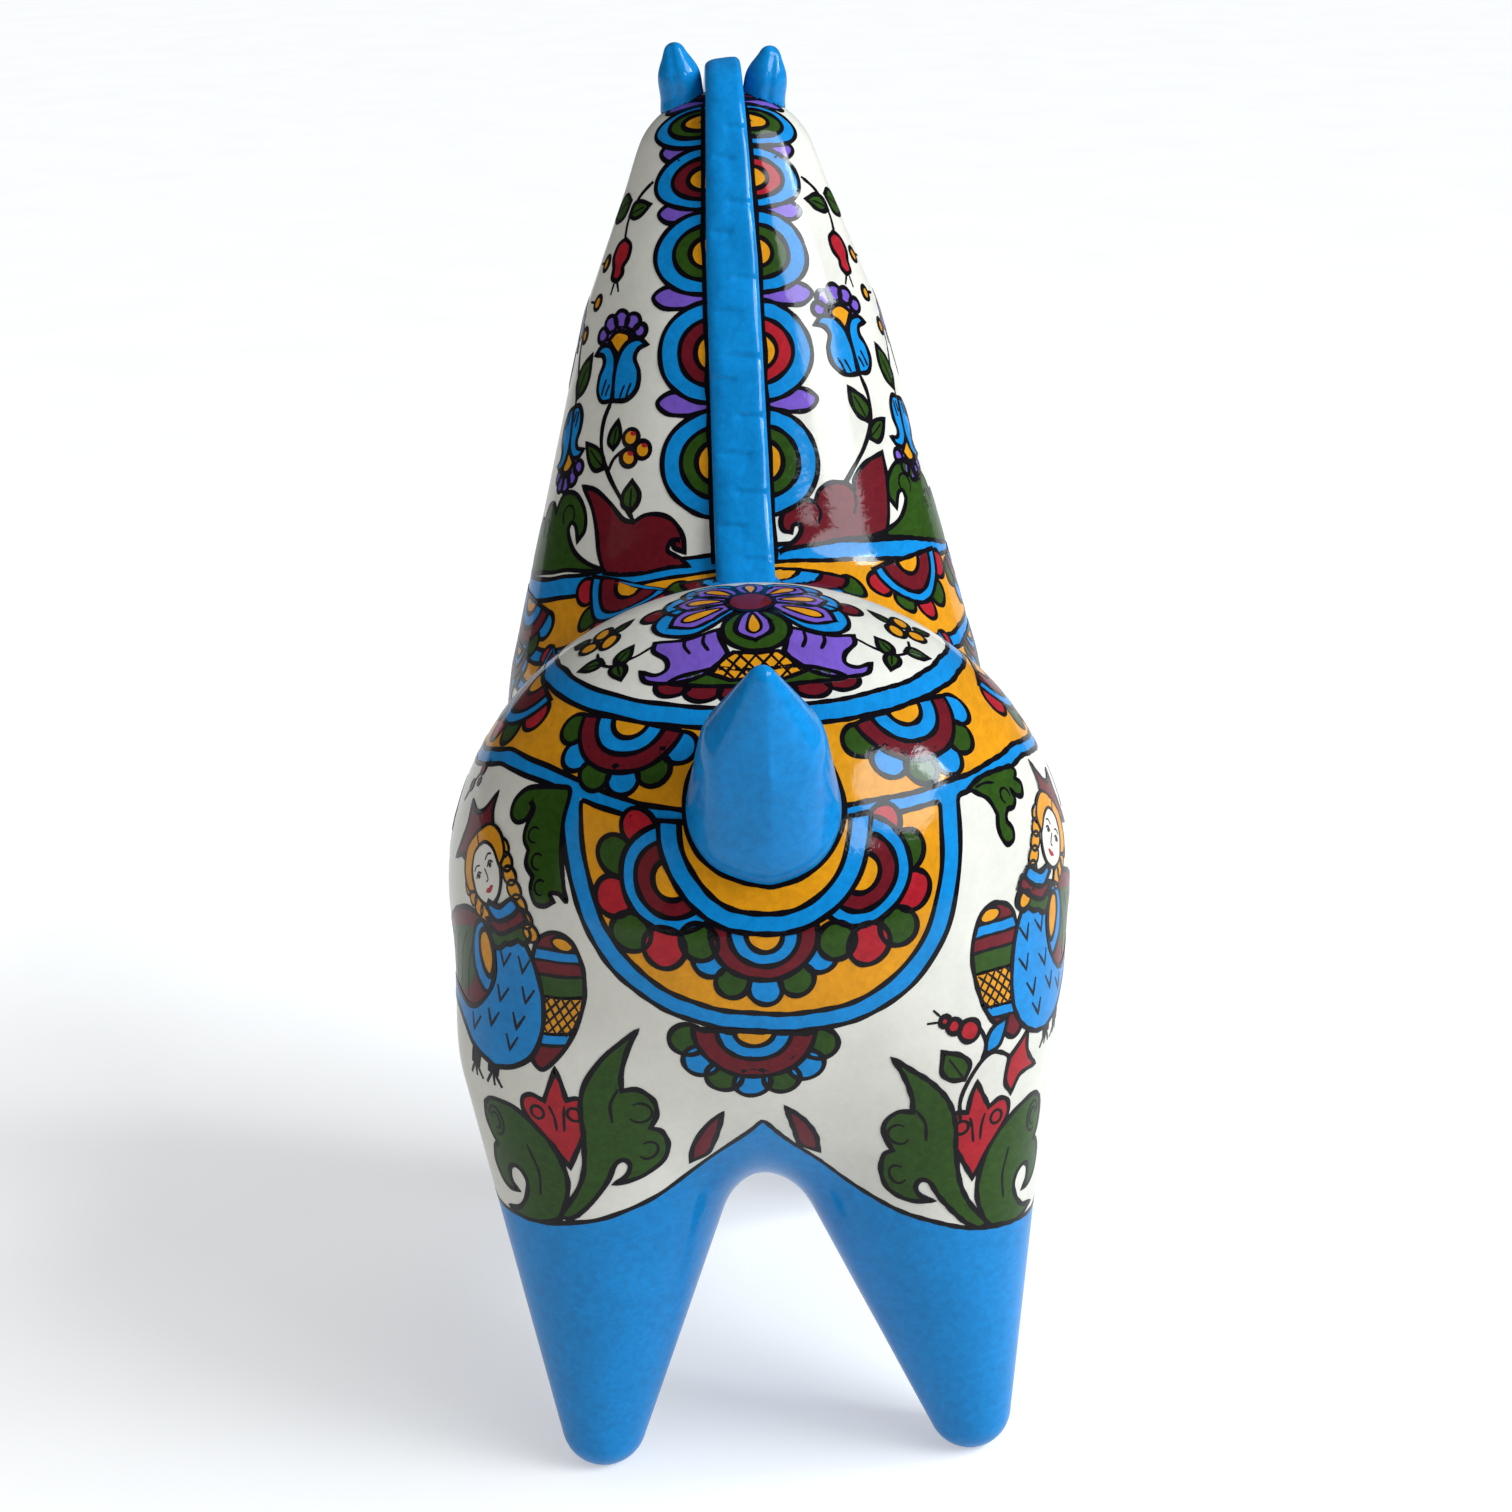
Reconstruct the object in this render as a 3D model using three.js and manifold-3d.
// A carved and painted folk-art horse: limewood pieces, dowelled and glued together, then painted.
// Millimetres, +Z up. The horse faces -Y, its left side is +X, and it stands on z = 0
// with its box centred on the origin.
import * as THREE from "three";
import { mergeVertices } from "three/addons/utils/BufferGeometryUtils.js";
import Module from "manifold-3d";

const wasm = await Module();
wasm.setup();

// Driving dimensions.
const GAP = 0.3; // glue gap between neighbouring pieces
const FAR = 400; // reach of the cutting blocks, beyond the horse

// The body is carved to the outline of a few balls joined by tapers. Each ball is [x, y, z, radius].
// spread widens a shape sideways, and blend is the depth of the fillet where it runs into its neighbour.
const BARREL = { balls: [[0, 68, 167, 85], [0, -15, 150, 70]], spread: 1.06 };
const NECK = {
  balls: [[0, -32, 195, 59.4], [0, -58, 300, 38.2], [0, -70, 352, 22.5]],
  spread: 1.25,
  blend: 22,
};
const HEAD = { balls: [[0, -78, 345, 24], [0, -120, 318, 19], [0, -148, 296, 14]], spread: 0.95 };

// Legs run from the foot to the hip or shoulder. The hind pair was carved by eye and isn't quite even.
const LEG_BLEND = 12;
const LEGS = {
  hind_left: [[51.8, 108, 11, 12.6], [42.7, 94, 131, 45.5]],
  hind_right: [[-56.4, 108, 11, 12.3], [-35.4, 94, 137, 47.4]],
  front_left: [[50, -54, 10, 11.5], [38, -26, 118, 37]],
  front_right: [[-50, -54, 10, 11.5], [-38, -26, 118, 37]],
};

const TAIL = { balls: [[0, 134, 211, 21], [0, 146.5, 232, 17.2], [0, 158.5, 256, 3.8]] };
const EARS = {
  left: [[13.2, -72, 369.5, 6.5], [14.2, -72, 380, 5.3], [15, -72, 387.4, 2.5]],
  right: [[-13.2, -72, 369.5, 6.5], [-14.2, -72, 378.5, 5.3], [-15, -72, 385.4, 2.5]],
};

// Joints: the legs end at a level seat, and the neck stands on a seat that slopes up
// to a shoulder at the saddle.
const LEG_SEAT_Z = 71;
const NECK_SEAT = { front: [-95, 214], back: [12, 240] };
const LEG_DOWEL = { radius: 5, length: 46 };
const NECK_DOWEL = { radius: 6, length: 44, along: { front: 0.28, rear: 0.7 } };
const TAIL_DOWEL = { radius: 4, length: 36, fromRump: 78 };
const EAR_DOWEL = { radius: 2, length: 15, rise: 1.5 };

// The mane crest is a sawn plate let into a groove along the top of the neck,
// planed thinner towards the ears.
const MANE = { depth: 15, bevel: 2, steps: 36 };
const MANE_FOOT = { thickness: 16.2, z: 239 };
const MANE_CREST = { thickness: 12, z: 385 };
const MANE_BACK = [
  [-97, 367], [-87, 379], [-71, 385], [-53, 377], [-39, 353], [-25, 325],
  [-12, 300], [0, 276], [11, 257.5], [20, 247.5],
  [30, 239],
];
const NOTCHES = { count: 10, radius: 1.2, from: 0.3, to: 0.84 };

// Signed distance from a point to one ball-ended taper.
function taperDistance(point, [fromX, fromY, fromZ, fromRadius], [toX, toY, toZ, toRadius]) {
  const along = new THREE.Vector3(toX - fromX, toY - fromY, toZ - fromZ);
  const length = along.length();
  along.divideScalar(length);
  const offset = new THREE.Vector3(point.x - fromX, point.y - fromY, point.z - fromZ);
  const height = offset.dot(along);
  const side = Math.sqrt(Math.max(offset.lengthSq() - height * height, 0));
  const slope = (fromRadius - toRadius) / length;
  const rise = Math.sqrt(1 - slope * slope);
  // The cone touches each ball on a circle: beyond those circles the balls themselves are nearest.
  const touch = height - (side * slope) / rise;
  if (touch <= 0) return offset.length() - fromRadius;
  if (touch >= length) return Math.hypot(side, height - length) - toRadius;
  return side * rise + height * slope - fromRadius;
}

function shapeDistance(point, { balls, spread = 1 }) {
  const squeezed = new THREE.Vector3(point.x / spread, point.y, point.z);
  const distances = balls.slice(1).map((ball, i) => taperDistance(squeezed, balls[i], ball));
  return Math.min(...distances);
}

// The smaller of two distances, rounded where they are close so that the shapes run together in a fillet.
function blended(first, second, reach) {
  const overlap = Math.max(reach - Math.abs(first - second), 0) / reach;
  return Math.min(first, second) - (overlap * overlap * reach) / 4;
}

// The carved body without the head: barrel, neck and four legs.
function bodyDistance(point) {
  const trunk = blended(shapeDistance(point, BARREL), shapeDistance(point, NECK), NECK.blend);
  return Object.values(LEGS).reduce(
    (nearest, [foot, top]) => blended(nearest, taperDistance(point, top, foot), LEG_BLEND),
    trunk,
  );
}

// Mesh of a distance shape around a core line: each capsule vertex moves out from the core to the surface.
function carve(distance, from, to, { around, caps, along, grow = 0 }) {
  const start = new THREE.Vector3(...from);
  const run = new THREE.Vector3(...to).sub(start);
  const length = run.length();
  const direction = run.clone().normalize();
  const capsule = new THREE.CapsuleGeometry(1, length, caps, around, along);
  capsule.deleteAttribute("normal");
  capsule.deleteAttribute("uv");
  capsule.translate(0, length / 2, 0);
  capsule.applyQuaternion(new THREE.Quaternion().setFromUnitVectors(new THREE.Vector3(0, 1, 0), direction));
  const geometry = mergeVertices(capsule, 1e-4);
  const place = geometry.attributes.position;
  const offset = new THREE.Vector3();
  for (let i = 0; i < place.count; i++) {
    offset.fromBufferAttribute(place, i);
    const core = direction.clone().multiplyScalar(THREE.MathUtils.clamp(offset.dot(direction), 0, length));
    const outwards = offset.clone().sub(core).normalize();
    const reach = surfaceReach(distance, core.add(start), outwards, grow);
    core.addScaledVector(outwards, reach);
    place.setXYZ(i, core.x, core.y, core.z);
  }
  return toSolid(geometry);
}

// How far along a ray from inside the shape its surface lies.
function surfaceReach(distance, origin, outwards, grow) {
  let reach = 0;
  for (let step = 0; step < 120; step++) {
    const left = grow - distance(origin.clone().addScaledVector(outwards, reach));
    reach += left * 0.8;
    if (Math.abs(left) < 0.002) break;
  }
  return reach;
}

// A closed geometry as a manifold-3d solid.
function toSolid(geometry) {
  const bare = geometry.clone();
  bare.deleteAttribute("normal");
  bare.deleteAttribute("uv");
  const merged = mergeVertices(bare, 1e-4);
  const corners = merged.index.array;
  const kept = [];
  for (let i = 0; i < corners.length; i += 3) {
    const [a, b, c] = corners.slice(i, i + 3);
    if (a !== b && b !== c && c !== a) kept.push(a, b, c);
  }
  const mesh = new wasm.Mesh({
    numProp: 3,
    vertProperties: merged.attributes.position.array,
    triVerts: new Uint32Array(kept),
  });
  return new wasm.Manifold(mesh);
}

// A manifold-3d solid as a named three.js mesh.
function toMesh(name, solid, material) {
  const made = solid.getMesh();
  const geometry = new THREE.BufferGeometry();
  geometry.setAttribute("position", new THREE.BufferAttribute(made.vertProperties, 3));
  geometry.setIndex(new THREE.BufferAttribute(made.triVerts, 1));
  geometry.computeVertexNormals();
  const mesh = new THREE.Mesh(geometry, material);
  mesh.name = name;
  return mesh;
}

function joined(solids) {
  return solids.reduce((whole, next) => whole.add(next));
}

// An outline in the horse's side view, [y, z] points, made into a plate across x.
// widthAt scales x at a height.
function sidePlate(outline, thickness, bevel = 0, widthAt = () => 1) {
  const flat = thickness - 2 * bevel;
  const geometry = new THREE.ExtrudeGeometry(outline, {
    depth: flat,
    bevelEnabled: bevel > 0,
    bevelThickness: bevel,
    bevelSize: bevel,
    bevelOffset: -bevel,
    bevelSegments: 2,
  });
  geometry.translate(0, 0, -flat / 2);
  const x = new THREE.Vector3(1, 0, 0);
  const y = new THREE.Vector3(0, 1, 0);
  const z = new THREE.Vector3(0, 0, 1);
  geometry.applyMatrix4(new THREE.Matrix4().makeBasis(y, z, x));
  const corners = geometry.attributes.position;
  for (let i = 0; i < corners.count; i += 1) corners.setX(i, corners.getX(i) * widthAt(corners.getZ(i)));
  return toSolid(geometry);
}

// Everything below a height.
function below(height) {
  const block = new THREE.BoxGeometry(2 * FAR, 2 * FAR, FAR);
  block.translate(0, 0, height - FAR / 2);
  return toSolid(block);
}

// Everything above the neck's seat and in front of the saddle. lift moves the seat up.
function aboveNeckSeat(lift) {
  const [frontY, frontZ] = NECK_SEAT.front;
  const [backY, backZ] = NECK_SEAT.back;
  const slope = (backZ - frontZ) / (backY - frontY);
  const edge = backY - lift;
  const heightAt = (y) => frontZ + slope * (y - frontY) + lift;
  const corners = [[-FAR, heightAt(-FAR)], [edge, heightAt(edge)], [edge, 2 * FAR], [-FAR, 2 * FAR]];
  return sidePlate(new THREE.Shape(corners.map(([y, z]) => new THREE.Vector2(y, z))), 2 * FAR);
}

// A round bar centred on a point, along a direction.
function bar(radius, length, centre, direction, segments = 20) {
  const geometry = new THREE.CylinderGeometry(radius, radius, length, segments);
  geometry.applyQuaternion(new THREE.Quaternion().setFromUnitVectors(new THREE.Vector3(0, 1, 0), direction));
  geometry.translate(centre.x, centre.y, centre.z);
  return toSolid(geometry);
}

// A dowel and the longer, looser hole it sits in.
function dowel({ radius, length }, centre, direction) {
  return {
    pin: bar(radius, length, centre, direction),
    hole: bar(radius + GAP, length + 2 * GAP, centre, direction),
  };
}

// The mane's side outline: a smooth back edge, and a front edge parallel to it inside the neck.
const maneCurve = new THREE.SplineCurve(MANE_BACK.map(([y, z]) => new THREE.Vector2(y, z)));

function maneThickness(z) {
  return THREE.MathUtils.mapLinear(z, MANE_FOOT.z, MANE_CREST.z, MANE_FOOT.thickness, MANE_CREST.thickness);
}

function manePlate(grow) {
  const back = maneCurve.getPoints(MANE.steps);
  const inwards = back.map((point, i) => {
    const run = back[Math.min(i + 1, MANE.steps)].clone().sub(back[Math.max(i - 1, 0)]).normalize();
    return new THREE.Vector2(run.y, -run.x);
  });
  const outer = back.map((point, i) => point.clone().addScaledVector(inwards[i], -grow));
  const inner = back.map((point, i) => point.clone().addScaledVector(inwards[i], MANE.depth + grow));
  // Lengthen both ends by the same growth.
  const headEnd = outer[0].clone().sub(outer[1]).setLength(grow);
  const backEnd = outer[MANE.steps].clone().sub(outer[MANE.steps - 1]).setLength(grow);
  for (const edge of [outer, inner]) {
    edge[0].add(headEnd);
    edge[MANE.steps].add(backEnd);
  }
  const thickest = MANE_FOOT.thickness + 2 * grow;
  const widthAt = (z) => (maneThickness(z) + 2 * grow) / thickest;
  return sidePlate(new THREE.Shape([...outer, ...inner.reverse()]), thickest, MANE.bevel, widthAt);
}

// Saw notches across the back edge of the mane.
function maneNotches() {
  const across = new THREE.Vector3(1, 0, 0);
  const { count, radius, from, to } = NOTCHES;
  return joined(
    Array.from({ length: count }, (_, i) => {
      const at = maneCurve.getPointAt(from + ((to - from) * i) / (count - 1));
      return bar(radius, 2 * MANE_FOOT.thickness, new THREE.Vector3(0, at.x, at.y), across, 8);
    }),
  );
}

// Whole shapes before they are fitted to each other.
const centreOf = ([x, y, z]) => [x, y, z];
const trunkDetail = { around: 60, caps: 16, along: 8 };
const neckDetail = { around: 40, caps: 5, along: 14 };
const headDetail = { around: 28, caps: 6, along: 10 };
const legDetail = { around: 26, caps: 4, along: 8 };
const tailDetail = { around: 24, caps: 5, along: 8 };
const earDetail = { around: 18, caps: 4, along: 5 };

const trunk = (grow) => carve(bodyDistance, [0, -10, 150], [0, 70, 162], { ...trunkDetail, grow });
const neck = (grow) => carve(bodyDistance, [0, -38, 205], [0, -70, 352], { ...neckDetail, grow });
const head = (grow) => {
  const [brow, , muzzle] = HEAD.balls;
  const distance = (point) => shapeDistance(point, HEAD);
  return carve(distance, centreOf(brow), centreOf(muzzle), { ...headDetail, grow });
};

const legs = Object.entries(LEGS).map(([name, [foot, top]]) => {
  const axis = new THREE.Vector3(top[0] - foot[0], top[1] - foot[1], top[2] - foot[2]);
  const seat = new THREE.Vector3(...foot).addScaledVector(axis, (LEG_SEAT_Z - foot[2]) / axis.z);
  const side = Math.sign(foot[0]);
  const halfBody = (point) => Math.max(bodyDistance(point), -side * point.x);
  const shape = carve(halfBody, centreOf(foot), centreOf(top), legDetail);
  return { name, shape, ...dowel(LEG_DOWEL, seat, axis.normalize()) };
});

const seatFront = new THREE.Vector3(0, ...NECK_SEAT.front);
const seatRun = new THREE.Vector3(0, ...NECK_SEAT.back).sub(seatFront);
const seatNormal = new THREE.Vector3(1, 0, 0).cross(seatRun).normalize();
const neckDowels = Object.entries(NECK_DOWEL.along).map(([name, share]) => ({
  name,
  ...dowel(NECK_DOWEL, seatFront.clone().addScaledVector(seatRun, share), seatNormal),
}));

const rumpCentre = new THREE.Vector3(...centreOf(BARREL.balls[0]));
const tailAxis = new THREE.Vector3(...centreOf(TAIL.balls[0])).sub(rumpCentre).normalize();
const tailDowel = dowel(TAIL_DOWEL, rumpCentre.addScaledVector(tailAxis, TAIL_DOWEL.fromRump), tailAxis);

const ears = Object.entries(EARS).map(([name, balls]) => {
  const [base, , tip] = balls;
  const axis = new THREE.Vector3(tip[0] - base[0], tip[1] - base[1], tip[2] - base[2]).normalize();
  const seat = new THREE.Vector3(...centreOf(base)).addScaledVector(axis, EAR_DOWEL.rise);
  const shape = carve((point) => shapeDistance(point, { balls }), centreOf(base), centreOf(tip), earDetail);
  return { name, shape, ...dowel(EAR_DOWEL, seat, axis) };
});

// The pieces, cut to fit each other.
function torso() {
  const cuts = [
    below(LEG_SEAT_Z + GAP / 2),
    aboveNeckSeat(-GAP / 2),
    manePlate(GAP),
    tailDowel.hole,
    ...legs.map(({ hole }) => hole),
    ...neckDowels.map(({ hole }) => hole),
  ];
  return trunk(0).subtract(joined(cuts));
}

function neckAndHead() {
  const cuts = [manePlate(GAP), ...neckDowels.map(({ hole }) => hole), ...ears.map(({ hole }) => hole)];
  return neck(0).intersect(aboveNeckSeat(GAP / 2)).add(head(0)).subtract(joined(cuts));
}

function tail() {
  const [root, , tip] = TAIL.balls;
  const whole = carve((point) => shapeDistance(point, TAIL), centreOf(root), centreOf(tip), tailDetail);
  return whole.subtract(trunk(GAP)).subtract(tailDowel.hole);
}

function ear({ shape, hole }) {
  return shape.subtract(neck(GAP)).subtract(head(GAP)).subtract(manePlate(GAP)).subtract(hole);
}

function leg({ shape, hole }) {
  return shape.intersect(below(LEG_SEAT_Z - GAP / 2)).subtract(below(0)).subtract(hole);
}

// Paint colours of the pieces. The torso and neck have a white ground under their ornament.
const bluePaint = new THREE.MeshStandardMaterial({ color: 0x1583cf, roughness: 0.35, metalness: 0 });
const whitePaint = new THREE.MeshStandardMaterial({ color: 0xeeeade, roughness: 0.35, metalness: 0 });
const bareWood = new THREE.MeshStandardMaterial({ color: 0xc9a673, roughness: 0.8, metalness: 0 });

const horse = new THREE.Group();
horse.name = "painted_horse";
horse.add(toMesh("torso", torso(), whitePaint));
horse.add(toMesh("neck_and_head", neckAndHead(), whitePaint));
horse.add(toMesh("mane_crest", manePlate(0).subtract(maneNotches()), bluePaint));
horse.add(toMesh("tail", tail(), bluePaint));
horse.add(toMesh("tail_dowel", tailDowel.pin, bareWood));
for (const { name, pin } of neckDowels) horse.add(toMesh(`neck_dowel_${name}`, pin, bareWood));
for (const one of ears) {
  horse.add(toMesh(`ear_${one.name}`, ear(one), bluePaint));
  horse.add(toMesh(`ear_dowel_${one.name}`, one.pin, bareWood));
}
for (const one of legs) {
  horse.add(toMesh(`leg_${one.name}`, leg(one), bluePaint));
  horse.add(toMesh(`leg_dowel_${one.name}`, one.pin, bareWood));
}

export default horse;
